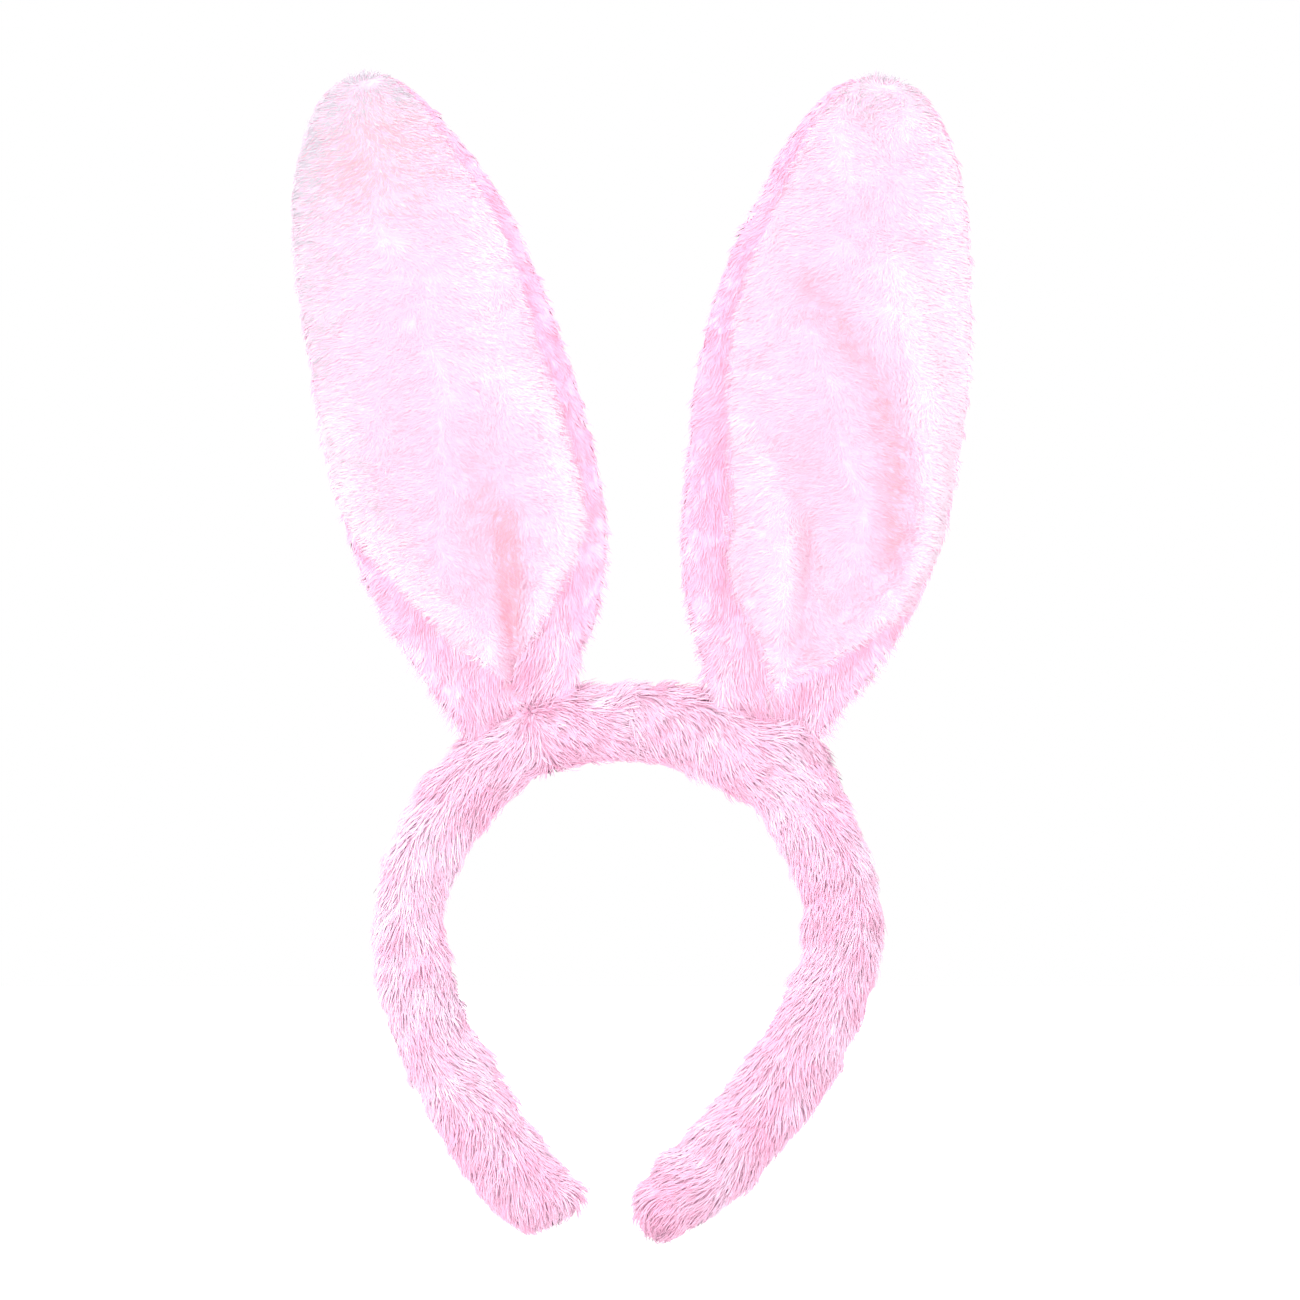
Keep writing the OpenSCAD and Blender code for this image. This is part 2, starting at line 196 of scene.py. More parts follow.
# ---------- camera, light and floor ----------
VIEW_CENTRE = (7.7, 35.8)
VIEW_WIDTH = 416.0
VIEW_DISTANCE = 3000.0
FLOOR_GAP = 14.0  # the arms sweep lower than they hang when they are sprung apart
FLOOR_HALF = 2600.0
LIT_POINT = np.array([0, 0, 0.03])
# Each light's place and size in metres, and its power in watts.
LIGHTS = {
    "key_light": ((-1.0, -1.6, 1.5), 0.7, 16),
    "front_light": ((-0.3, -2.6, 0.35), 0.7, 28),
    "fill_light": ((1.9, -1.2, 0.3), 1.2, 7),
    "left_light": ((-2.2, 0.2, 0.3), 1.2, 10),
    "back_light": ((0.4, 2.4, 0.8), 1.2, 30),
}


def stand(name, data, place, turn):
    obj = bpy.data.objects.new(name, data)
    obj.location = place
    obj.rotation_euler = turn
    bpy.context.collection.objects.link(obj)
    return obj


def add_camera():
    camera = bpy.data.cameras.new("camera")
    camera.sensor_width = 36
    camera.lens = camera.sensor_width * VIEW_DISTANCE / VIEW_WIDTH
    camera.clip_end = 50
    place = (VIEW_CENTRE[0] * MM, -VIEW_DISTANCE * MM, VIEW_CENTRE[1] * MM)
    bpy.context.scene.camera = stand("camera", camera, place, (math.radians(90), 0, 0))


def add_light(name, place, size, power):
    light = bpy.data.lights.new(name, "AREA")
    light.size = size
    light.energy = power
    aim = np.array(place) - LIT_POINT
    stand(name, light, place, (math.acos(aim[2] / np.linalg.norm(aim)), 0,
                               math.atan2(aim[1], aim[0]) + math.pi / 2))


def add_studio(floor_z):
    for name, (place, size, power) in LIGHTS.items():
        add_light(name, place, size, power)
    world = bpy.data.worlds.new("studio")
    world.use_nodes = True
    set_sockets(world.node_tree.nodes["Background"], {"Color": (1, 1, 1, 1), "Strength": 1.0})
    bpy.context.scene.world = world
    bpy.context.scene.view_settings.view_transform = "Standard"
    paper = textured_material("floor_paper", [
        (0.3, (0.95, 0.95, 0.95)), (0.7, (0.98, 0.98, 0.98))], scale=30, detail=2)
    corners = [(x * FLOOR_HALF, y * FLOOR_HALF, floor_z)
               for x, y in ((-1, -1), (1, -1), (1, 1), (-1, 1))]
    floor = add_mesh("floor", corners, [(0, 1, 2, 3)], [paper])


# ---------- materials ----------
def set_sockets(node, values):
    for name, value in values.items():
        node.inputs[name].default_value = value


def new_material(name, colour, roughness=0.8, sheen=0.0):
    material = bpy.data.materials.new(name)
    material.use_nodes = True
    shader = material.node_tree.nodes["Principled BSDF"]
    set_sockets(shader, {"Base Color": (*colour, 1), "Roughness": roughness,
                         "Specular IOR Level": 0.2, "Sheen Weight": sheen, "Sheen Roughness": 0.5})
    return material, shader


def textured_material(name, stops, scale, roughness=0.9, detail=6, stretch=(1, 1, 1),
                      height=0.0, metallic=0.0):
    """A surface whose colour follows a stretched noise in the piece's own metres.

    With a height it is cloth: it has some sheen, and its relief follows the noise too.
    """
    sheen, distortion = (0.08, 0.3) if height else (0.0, 0.0)
    material, shader = new_material(name, stops[0][1], roughness, sheen)
    set_sockets(shader, {"Metallic": metallic})
    new, link = material.node_tree.nodes.new, material.node_tree.links.new
    place, mapping = new("ShaderNodeTexCoord"), new("ShaderNodeMapping")
    set_sockets(mapping, {"Scale": stretch})
    noise = new("ShaderNodeTexNoise")
    set_sockets(noise, {"Scale": scale, "Detail": detail, "Distortion": distortion})
    link(place.outputs["Object"], mapping.inputs["Vector"])
    link(mapping.outputs["Vector"], noise.inputs["Vector"])
    colours = new("ShaderNodeValToRGB")
    elements = colours.color_ramp.elements
    while len(elements) < len(stops):
        elements.new(0.5)
    for element, (at, shade) in zip(elements, stops):
        element.position = at
        element.color = (*shade, 1)
    link(noise.outputs["Fac"], colours.inputs["Fac"])
    link(colours.outputs["Color"], shader.inputs["Base Color"])
    if height:
        relief = new("ShaderNodeBump")
        set_sockets(relief, {"Distance": height, "Strength": 0.6})
        link(noise.outputs["Fac"], relief.inputs["Height"])
        link(relief.outputs["Normal"], shader.inputs["Normal"])
    return material


# The shades of each pile, from deep to light. The white one also has two for its edges.
PILES = {
    "pink": {
        "deep": (1.0, 0.485, 0.695),
        "rose": (1.0, 0.535, 0.735),
        "mid": (1.0, 0.59, 0.78),
        "light": (1.0, 0.65, 0.83),
        "pale": (1.0, 0.74, 0.90),
    },
    "white": {
        "deep": (1.0, 0.52, 0.64),
        "blush_and_painted_light": (1.0, 0.62, 0.78),
        "pink": (1.0, 0.67, 0.83),
        "mid": (1.0, 0.71, 0.865),
        "light": (1.0, 0.80, 0.92),
        "warm": (0.93, 0.58, 0.66),
        # The cool grey shade is painted shade, for the ears' edges and tips.
        "cool_painted_shade": (0.70, 0.635, 0.71),
    },
}
SHADES = 5
WARM, COOL_PAINTED_SHADE = SHADES, SHADES + 1


def pile_materials(pile):
    return [new_material(f"{pile}_pile_{shade}", colour, sheen=0.05)[0]
            for shade, colour in PILES[pile].items()]


# ---------- the cloth, filled ----------
SIM_SCALE = 5.0  # the cloth solver behaves better on a larger piece
SIM_FRAMES = 16
SLACK = 0.025  # how much larger the cloth is cut than its shape, which puckers it


def settle(points, faces, sewn, pressure, cap):
    """Fills a cloth shape and settles it, held at its sewn points. No point moves beyond cap."""
    obj = add_mesh("settling_cloth", points * SIM_SCALE, faces, [])
    group = obj.vertex_groups.new(name="sewn")
    group.add(np.flatnonzero(sewn).tolist(), 1.0, "REPLACE")
    cloth = obj.modifiers.new("cloth", "CLOTH")
    cloth.settings.vertex_group_mass = "sewn"
    cloth.settings.use_pressure = True
    cloth.settings.uniform_pressure_force = pressure
    cloth.settings.shrink_min = -SLACK
    cloth.settings.quality = 6
    cloth.settings.effector_weights.gravity = 0
    cloth.point_cache.frame_start, cloth.point_cache.frame_end = 1, SIM_FRAMES
    for frame_number in range(1, SIM_FRAMES + 1):
        bpy.context.scene.frame_set(frame_number)
    result = obj.evaluated_get(bpy.context.evaluated_depsgraph_get()).data
    settled = np.empty(len(points) * 3, np.float32)
    result.vertices.foreach_get("co", settled)
    move = settled.reshape(-1, 3) / MM / SIM_SCALE - points
    size = np.maximum(np.linalg.norm(move, axis=1, keepdims=True), 1e-9)
    move *= cap * np.tanh(size / cap) / size
    mesh = obj.data
    bpy.data.objects.remove(obj)
    bpy.data.meshes.remove(mesh)
    bpy.context.scene.frame_set(1)
    return points + move


# ---------- pile ----------
# How far a strand's own roundness turns its shading from the cloth's, at the sides and face on.
ROUNDNESS = (0.95, 0.55)
CLUMP_PULL = 0.35  # how far a strand's tip moves to its clump's


def scatter(points, normals, faces, density, rng):
    """Random roots spread evenly over quads, density to a square millimetre.

    Gives a function that reads point values at the roots, and the roots' places and normals.
    """
    a, b, c, d = (points[faces[:, i]] for i in range(4))
    area = 0.5 * (np.linalg.norm(np.cross(b - a, c - a), axis=1)
                  + np.linalg.norm(np.cross(c - a, d - a), axis=1))
    count = np.floor(area * density + rng.random(len(faces))).astype(int)
    face = np.repeat(np.arange(len(faces)), count)
    s, t = rng.random((2, len(face)))
    share = np.stack([(1 - s) * (1 - t), s * (1 - t), s * t, (1 - s) * t], -1)
    corner = faces[face]

    def at(values):
        return (values[corner] * (share[..., None] if values.ndim > 1 else share)).sum(1)

    return at, at(points), unit(at(normals))


def grid_normals(points, faces):
    a, b, c, d = (points[faces[:, i]] for i in range(4))
    face_normal = np.cross(c - a, d - b)
    total = np.zeros_like(points)
    for i in range(4):
        np.add.at(total, faces[:, i], face_normal)
    return unit(total)


def clump(roots, share, rng):
    """The nearest of the leading roots to each root, as an index. share is how many lead."""
    pick = rng.permutation(len(roots))[: int(len(roots) * share)]
    tree = KDTree(len(pick))
    for i in pick:
        tree.insert(roots[i], int(i))
    tree.balance()
    return np.array([tree.find(p)[1] for p in roots])


def parts(values, top, count):
    """Cuts strands into parts by a value from 0 to top. Gives each part's ends and strands."""
    cuts = np.linspace(0, top, count + 1)
    for low, high in zip(cuts[:-1], cuts[1:]):
        yield low, high, np.flatnonzero((values >= low) & ((values < high) | (high == top)))


def local_clumps(clump_of, keep):
    """clump_of within the kept roots. A root whose leader isn't kept leads itself."""
    inside = np.full(len(clump_of), -1)
    inside[keep] = np.arange(len(keep))
    local = inside[clump_of[keep]]
    return np.where(local < 0, np.arange(len(keep)), local)


def needle_faces(rings):
    """The triangles of one closed needle: rings of three points, and a tip."""
    faces = [(0, 1, 2)]
    for low in range(0, 3 * (rings - 1), 3):
        high = low + 3
        for i, j in ((0, 1), (1, 2), (2, 0)):
            faces += [(low + i, high + i, low + j), (low + j, high + i, high + j)]
    last, tip = 3 * (rings - 1), 3 * rings
    return np.array(faces + [(last + i, tip, last + (i + 1) % 3) for i in range(3)])


def add_pile(name, roots, normals, comb, length, rise, width, shade, materials, rings, rng,
             gather, clump_of, hug=0.0):
    """Combed strands: closed tapered needles that leave their roots and lie over along comb.

    gather is how far they lean to their clump, and hug bends them round the band.
    """
    count = len(roots)
    comb = unit(comb)
    flat = comb - dot(comb, normals) * normals
    # Where the nap runs straight into the cloth the strands are short.
    length = length * mix(0.45, 1.0, ramp(np.linalg.norm(flat, axis=1), 0.1, 0.6))
    comb = unit(flat)
    comb = unit(mix(comb, comb[clump_of], gather))
    side = unit(np.cross(comb, normals))
    steps = {2: (0.0, 0.5, 1.0), 3: (0.0, 0.38, 0.72, 1.0)}[rings]
    length, rise, width, hug = (np.broadcast_to(x, (count,))[:, None]
                                for x in (length, rise, width, hug))
    bend = rng.normal(0, 0.12, (count, 1))

    def at(t):
        lie = length * t**1.1 * 0.94
        up = rise * (1 - (1 - t) ** 2) - hug * lie**2 / 2
        return roots + comb * lie + normals * up + side * bend * length * t**2

    places = [at(t) for t in steps]
    pull = places[-1][clump_of] - places[-1]
    far = np.linalg.norm(pull, axis=1, keepdims=True)
    pull *= gather * CLUMP_PULL * np.minimum(1, 2.0 / np.maximum(far, 1e-6))
    places = [p + pull * t**1.5 for p, t in zip(places, steps)]
    points = np.empty((count, 3 * rings + 1, 3))
    facing = np.empty_like(points)
    roundness = mix(*ROUNDNESS, ramp(np.abs(normals[:, 1:2]), 0.1, 0.7))
    for k in range(rings):
        run = unit(places[k + 1] - places[max(k - 1, 0)])
        up = unit(np.cross(side, run))
        half = 0.5 * width * (1 - 0.35 * k / rings) * (0.8 if k == 0 else 1)
        for i, angle in enumerate((90, 210, 330)):
            a = math.radians(angle)
            outwards = math.cos(a) * side + math.sin(a) * up
            points[:, 3 * k + i] = places[k] + half * outwards
            facing[:, 3 * k + i] = normals + roundness * outwards
    points[:, -1] = places[-1]
    facing[:, -1] = normals
    one = needle_faces(rings)
    faces = (one[None] + (np.arange(count) * (3 * rings + 1))[:, None, None]).reshape(-1, 3)
    obj = add_mesh(name, points.reshape(-1, 3), faces, materials, np.repeat(shade, len(one)))
    # The strands are lit mostly as the cloth beneath is, which is how light moves through a pile.
    obj.data.normals_split_custom_set_from_vertices(unit(facing.reshape(-1, 3)))
    return obj


def shades(tone, rng, spread):
    """The shade of each strand, from a tone that is about 0 to 1."""
    tone = tone + rng.normal(0, spread, len(tone))
    return np.clip(np.floor(tone * SHADES), 0, SHADES - 1).astype(int)


# ---------- the band ----------
PILE_RISE = 3.2  # how far the band's pile stands above its skin
PILE_LENGTH = 8.0
PILE_WIDTH = 0.42
BAND_DENSITY = 1.7
BAND_CLUMPS = 0.2025  # the share of the strands that lead a clump
BAND_PARTS = 5  # pieces of pile on each side
PARTING = 29.0  # along the crown, by the left ear's foot
# Half the band's breadth to the pile's outside, in even steps from the crown's top to the end.
BREADTH = {
    "left": [13.1, 12.7, 12.2, 12.0, 11.8, 11.6, 11.5, 11.9, 12.6, 13.1, 13.6, 13.6, 12.8],
    "right": [13.1, 13.2, 12.8, 12.2, 12.3, 12.5, 12.8, 13.2, 13.3, 13.5, 13.5, 13.4, 11.8],
}
RING_POINTS = 44
CAP_RINGS = 12
SKIN_STEP = 2.0
SKIN_LUMPS = 0.35
EAR_SWELL = 7.0  # of the sleeve, behind the right ear's outer corner
END_REACH = SLEEVE_R + 0.6
# The left end is cut and tucked, so its inner side is squarer. The right end is round.
END_SQUARE = {"left": 2.2, "right": 0.3}
END_SLANT = {"left": 3.2, "right": -1.4}


class Line:
    """One side of the band's centreline, from the crown's top to the arm's end."""

    def __init__(self, side):
        shoulder_r, run_on, arm_r, sweep = ARMS[side]
        turn = 90 + run_on
        crown = np.arange(0, FLEX_ANGLE, 0.5)
        shoulder = np.arange(FLEX_ANGLE, turn, 0.5)
        arm = np.linspace(turn, turn + sweep, 60)
        c1 = OPENING_CENTRE + (CROWN_R - shoulder_r) * outward(FLEX_ANGLE)
        c2 = c1 + (shoulder_r - arm_r) * outward(turn)
        angle = np.concatenate([crown, shoulder, arm])
        place = np.concatenate([on_crown(crown), c1 + shoulder_r * outward(shoulder),
                                c2 + arm_r * outward(arm)])
        mirror = np.array([TURN[side], 1.0])
        self.place = place * mirror
        self.out = outward(angle) * mirror
        self.s = run_along(self.place)
        self.length = self.s[-1]
        self.side = side

    def at(self, s):
        """Centre, outward and onward directions in 3-D, at a distance from the crown's top."""
        def pick(values):
            return np.stack([np.interp(s, self.s, values[:, 0]), np.zeros_like(s),
                             np.interp(s, self.s, values[:, 1])], -1)
        centre, out = pick(self.place), unit(pick(self.out))
        turn = TURN[self.side]
        onward = np.stack([-out[:, 2] * turn, np.zeros_like(s), out[:, 0] * turn], -1)
        return centre, out, onward

    def breadth(self, s):
        table = BREADTH[self.side]
        return along(table, np.clip(s / self.length, 0, 1) * (len(table) - 1))


def band_skin(line):
    """A tube of points round one side of the band, with its domed end.

    Gives its points and faces, which points hold it as it settles (the inner seam, the crown's
    top and the gathered end), and each point's run, outward and onward directions.
    """
    rings = int(line.length / SKIN_STEP)
    q = np.linspace(0, 1, CAP_RINGS + 1)[1:]
    forward = np.concatenate([np.zeros(rings), np.sin(q * math.pi / 2)])
    s = np.concatenate([np.linspace(0, line.length, rings), np.full(CAP_RINGS, line.length)])
    phi = np.linspace(0, 2 * math.pi, RING_POINTS, endpoint=False)
    centre, out, onward = line.at(s)
    cos, sin = np.cos(phi)[None, :, None], np.sin(phi)[None, :, None]
    square = 2 + END_SQUARE[line.side] * np.clip(-np.cos(phi), 0, 1)[None, :]
    shrink = (1 - np.clip(forward, 0, 0.9999)[:, None] ** square) ** (1 / square)
    radius = ((line.breadth(s) - PILE_RISE)[:, None] * shrink)[..., None]
    swell = 0.0
    if line.side == "right":
        turned = s / CROWN_R * 180 / math.pi
        swell = EAR_SWELL * ramp(turned, 28, 40) * (1 - ramp(turned, 38, 64))
        swell = (swell[:, None] * np.clip(np.cos(phi), 0, 1)[None, :] ** 2)[..., None]
    ahead = forward[:, None, None]
    points = (centre[:, None] + (radius + swell) * (cos * out[:, None] + sin * FRONT)
              + onward[:, None] * ((END_REACH - PILE_RISE) * ahead)
              - out[:, None] * (END_SLANT[line.side] * ahead**2))
    normal = unit(cos * out[:, None] + sin * FRONT + onward[:, None] * ahead**3 * 3)
    points = points + normal * SKIN_LUMPS * ripple(points, 17, 5)[..., None] * (1 - ahead**4)
    held = (np.abs(phi - math.pi) < 0.1)[None] | ((s < 1) | (forward > 0.93))[:, None]
    info = [np.repeat(v, RING_POINTS, 0) for v in (s, out, onward)]
    faces = grid_faces(len(s), RING_POINTS, around=True)
    return points.reshape(-1, 3), faces, held.ravel(), info


def blend_arm(obj, side):
    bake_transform(obj)


def stand_in_on_band(obj, side, node):
    """A piece that replaces a CAD node's crown and one arm."""
    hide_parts(f"{node}_{side}_arm", node + "_crown")
    blend_arm(obj, side)


def add_sleeve(line, material):
    """One side's sleeve. Gives its points, normals and faces, and their runs and directions."""
    points, faces, held, info = band_skin(line)
    if dot(grid_normals(points, faces)[:1], info[1][:1])[0, 0] < 0:
        faces = faces[:, ::-1]
    points = settle(points, faces, held, pressure=0.6, cap=1.2)
    skin = add_mesh(line.side + "_sleeve_cloth", points, faces, [material])
    stand_in_on_band(skin, line.side, "sleeve")
    return points, grid_normals(points, faces), faces, info


def add_band_side(side, skin_material, pile, seed):
    """One side's sleeve, and the pile that lies down its arm and to the right over the crown."""
    rng = np.random.default_rng(seed)
    line = Line(side)
    points, normals, faces, info = add_sleeve(line, skin_material)
    at, roots, normal = scatter(points, normals, faces, BAND_DENSITY, rng)
    s, out, onward = at(info[0]), unit(at(info[1])), unit(at(info[2]))
    outer = np.clip(dot(normal, out), -1, 1)
    crown = (1 - ramp(s, 25, 70))[:, None]
    swirl = ripple(roots, 34, 11)[:, None]
    across = np.cross(normal, onward)
    # The pile parts by the left ear's foot. From there to the crown's top it lies to the right.
    way = np.ones_like(s) if side == "right" else mix(-1.0, 1.0, ramp(s, PARTING - 5, PARTING + 5))
    comb = (0.75 * onward * way[:, None] + (0.55 + 0.1 * crown) * DOWN
            + 0.45 * out * ramp(outer, 0.1, 0.9) * (1 - crown) + 0.35 * across * swirl)
    comb = comb + rng.normal(0, 0.22, comb.shape)
    clump_of = clump(roots, BAND_CLUMPS, rng)
    tone = (0.52 + 0.09 * ripple(roots, 9, 21) + 0.08 * ripple(roots, 30, 22)
            + rng.normal(0, 0.08, len(roots))[clump_of])
    # The left side is lighter about 105 mm down from the crown's top: painted highlight.
    if side == "left":
        tone = tone + 0.22 * bump((s - 105) / 45)
    length = PILE_LENGTH * rng.uniform(0.7, 1.12, len(roots)) * (1 + 0.12 * ripple(roots, 14, 31))
    rise = PILE_RISE * rng.uniform(0.45, 1.1, len(roots)) * (1 + 0.18 * ripple(roots, 8, 32))
    # Behind, on the opening's side, the pile is shorter, so that it doesn't hang into the opening.
    behind = (ramp(normal[:, 1], -0.3, 0.3) * ramp(-outer[:, 0], -0.1, 0.5)
              * mix(0.6, 1.0, crown[:, 0]))
    length, rise = length * (1 - 0.6 * behind), rise * (1 - 0.5 * behind)
    around = dot(unit(comb), unit(across))[:, 0] ** 2
    shade = shades(tone, rng, 0.08)
    for i, (low, high, keep) in enumerate(parts(s, line.length, BAND_PARTS)):
        obj = add_pile(f"{side}_sleeve_pile_{i + 1}", roots[keep], normal[keep], comb[keep],
                       length[keep], rise[keep], PILE_WIDTH, shade[keep], pile, 3, rng,
                       0.55, local_clumps(clump_of, keep), hug=around[keep] / SLEEVE_R)
        if low >= CROWN_R * math.radians(FLEX_ANGLE + 22):
            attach(obj, side + "_arm")
        elif high <= CROWN_R * math.radians(FLEX_ANGLE - 19):
            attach(obj, "band")
        else:
            blend_arm(obj, side)


# ---------- the ears ----------
# Outlines to the pile's outside: up the edge with the lower x, over the tip, and down the other.
EARS = {
    "left": {
        "low": [(-48, 3.5), (-60.5, 19.5), (-72.5, 36), (-84.3, 58), (-92.3, 80), (-98, 104),
                (-102.6, 130), (-106.3, 156), (-107.6, 179), (-104.4, 198), (-99, 210.5),
                (-92.6, 217.4)],
        "tip": (-84, 222),
        "high": [(-15.5, 18.5), (-13.4, 35), (-8, 51), (-5.6, 75), (-9.6, 99), (-16, 123),
                 (-24.5, 148), (-34.5, 172), (-46.8, 192), (-57.6, 205.4), (-67, 214.3),
                 (-75.5, 219.8)],
        "from": [-0.1, -0.12, -0.51, -0.79, -0.97, -0.985, -0.99, -0.99, -0.99, -0.99, -0.99, -0.98,
                 -0.97],
        "to": [0.05, 0.05, 0.45, 0.8, 0.82, 0.80, 0.82, 0.85, 0.84, 0.86, 0.9, 0.93, 0.97],
        # Ridges and valleys of the front: points, height and half breadth.
        "folds": [
            ([(-40, 125), (-24.3, 112.6), (-18.9, 99.8), (-17.9, 80.6), (-21.1, 64.6),
              (-26, 50), (-32.3, 37.4)], 3.4, 7.0),
            ([(-91, 104), (-86.7, 88.6), (-80.3, 72.6), (-69.1, 58.2), (-56.3, 47),
              (-46.7, 37.4), (-39, 28)], 3.6, 7.5),
            ([(-38, 78), (-37.1, 61.4), (-36.3, 44), (-36.5, 25)], -5.5, 4.0),
            ([(-58, 128), (-43.5, 122), (-35.5, 112.6)], 1.2, 4.5),
            ([(-52, 100), (-48, 84), (-44, 66)], -2.4, 15.0),
        ],
        # Rosier patches of the front, and paler ones: centre, breadths and strength.
        # The rosier ones in the valleys are painted shade, the paler ones on raised edges are
        # painted highlight, and the broad ones make the middle rosier.
        "blush_and_painted_light": [(-62, 150, 26, 60, 0.4), (-48, 85, 20, 42, 0.45), (-37, 40, 6, 26, 1.5),
                  (-46, 160, 10, 40, -0.7)],
        "warm": (-84, 196, 22, 20),
        # A cool grey painted shade along the edge and over the tip: its path, breadth and strength
        # at its two ends.
        "cool_painted_shade": ([(-72, 219), (-86, 219), (-99, 204), (-106, 175), (-104, 146), (-98, 114),
                  (-90, 82)], 11.0, (0.97, 0.2)),
    },
    "right": {
        "low": [(26.5, 17), (23.8, 32), (20.2, 46), (17.4, 64), (17.6, 82), (19.2, 101),
                (21.2, 121), (25.6, 142), (32.8, 163), (41.8, 182), (50.4, 198), (60, 210.4),
                (69.5, 217.8)],
        "tip": (80.5, 221.4),
        "high": [(57.5, 3), (70.5, 17.5), (81.3, 31), (92.8, 49), (101.2, 68), (106, 89),
                 (109.3, 110), (111.2, 133), (111.2, 156), (110, 175), (106.3, 193),
                 (100.5, 207), (92, 216.3)],
        "from": [-0.1, 0.0, -0.3, -0.6, -0.63, -0.68, -0.74, -0.8, -0.8, -0.79, -0.79, -0.8, -0.78,
                 -0.7],
        "to": [0.1, 0.12, 0.6, 0.96, 0.985, 0.99, 0.99, 0.99, 0.99, 0.99, 0.985, 0.97, 0.95, 0.9],
        "folds": [
            ([(38, 108), (48, 90), (52.5, 71), (51.5, 48.6), (48.3, 23)], 2.4, 5.5),
            ([(57.8, 72), (57.3, 60), (56.3, 43.8), (54.7, 30)], -3.0, 3.5),
            ([(62, 150), (71.7, 134.4), (81.3, 119), (86.1, 96.6), (86.7, 77.4), (82.9, 61.4),
              (73.3, 48.6), (62, 35)], -4.2, 6.5),
            ([(86, 160), (92.5, 144.6), (95.6, 120.6), (96.2, 88.6), (93.5, 67.8), (83.9, 53.4),
              (71.1, 40.6), (60.5, 31)], 4.2, 6.0),
            ([(66, 104), (66, 88), (64, 72)], -1.6, 13.0),
        ],
        # Painted shade in the valleys, painted highlight on the outer edge, and a rosier middle.
        "blush_and_painted_light": [(72, 168, 26, 30, 0.3), (62, 100, 22, 46, 0.3), (85, 84, 9, 44, 0.9),
                  (106, 130, 10, 75, -1.3)],
        "warm": None,
        # Painted shade, cool and grey, over the tip.
        "cool_painted_shade": ([(68, 216), (82, 220), (90, 216)], 8.0, (0.6, 0.4)),
    },
}
EAR_ROWS = 96
RIM_COLUMNS = 7
PANEL_COLUMNS = 44
BACK_COLUMNS = 36
HALF_THICK = 5.6
EAR_CURL = 9.0  # how far the edges come forward
EAR_LEAN = 6.0  # how far the tip leans back
BASE_BACK = 3.0
EAR_LUMPS = 0.35
EDGE_INSET = 1.4  # from the pile's outside to the cloth
WHITE_RISE = 1.5
WHITE_DENSITY = 2.7
WHITE_CLUMPS = 0.25
PINK_RISE = 2.2
PINK_DENSITY = 1.35
PINK_CLUMPS = 0.2025
EAR_PARTS = 3  # pieces of pile on each panel
# Each panel's slot, and its strands' width and how far they gather.
EAR_STRANDS = {"front": ("white_plush", 0.28, 0.35), "back": ("pink_plush", 0.4, 0.5)}
SLEEVE_CLEARANCE = 10.5  # from the crown's centreline, for an ear's pile
LEFT_OUT = -99.0  # the row of a strand that isn't made


def spot(flat, place):
    """1 at a spot's centre and less round it."""
    cx, cz, wx, wz = place
    return bump((flat[:, 0] - cx) / wx) * bump((flat[:, 1] - cz) / wz)


def distance_to(points, path):
    """How far each (x, z) point is from a path of straight pieces."""
    best = np.full(points.shape[:-1], 1e9)
    for a, b in zip(path[:-1], path[1:]):
        a, b = np.array(a, float), np.array(b, float)
        t = np.clip(((points - a) @ (b - a)) / ((b - a) @ (b - a)), 0, 1)
        best = np.minimum(best, np.linalg.norm(points - a - t[..., None] * (b - a), axis=-1))
    return best


